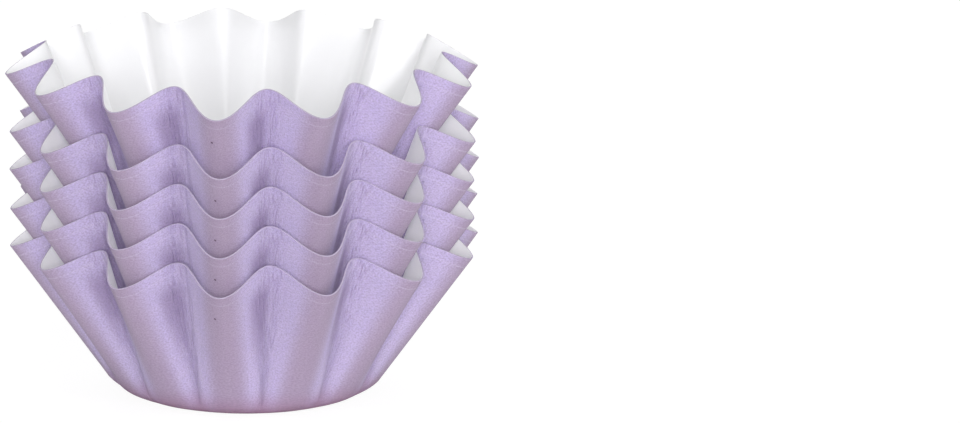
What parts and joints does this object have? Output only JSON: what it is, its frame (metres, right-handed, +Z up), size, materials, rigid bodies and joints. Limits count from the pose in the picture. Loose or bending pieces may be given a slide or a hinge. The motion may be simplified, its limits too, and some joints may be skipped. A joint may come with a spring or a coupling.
{
  "type": "stack of cupcake liners",
  "caption": "Nested stack of fluted paper baking cups, lilac outside with a glossy white lining, each pressed from one round sheet with a flat base and a flared wavy rim.",
  "frame": {"origin": "centre of the flat base of the lowest liner, on the surface the stack stands on", "axes": "+Z up through the stack towards the open rim; the side the picture shows faces -Y; +X to its right"},
  "size_m": [0.0969, 0.0967, 0.071],
  "materials": {
    "liner_paper": "matt lilac uncoated outside, glossy white film lining inside, white cut edge"
  },
  "bodies": {
    "root": {"bottom_liner": "liner_paper", "second_liner": "liner_paper", "third_liner": "liner_paper", "fourth_liner": "liner_paper", "top_liner": "liner_paper"}
  },
  "joints": []
}
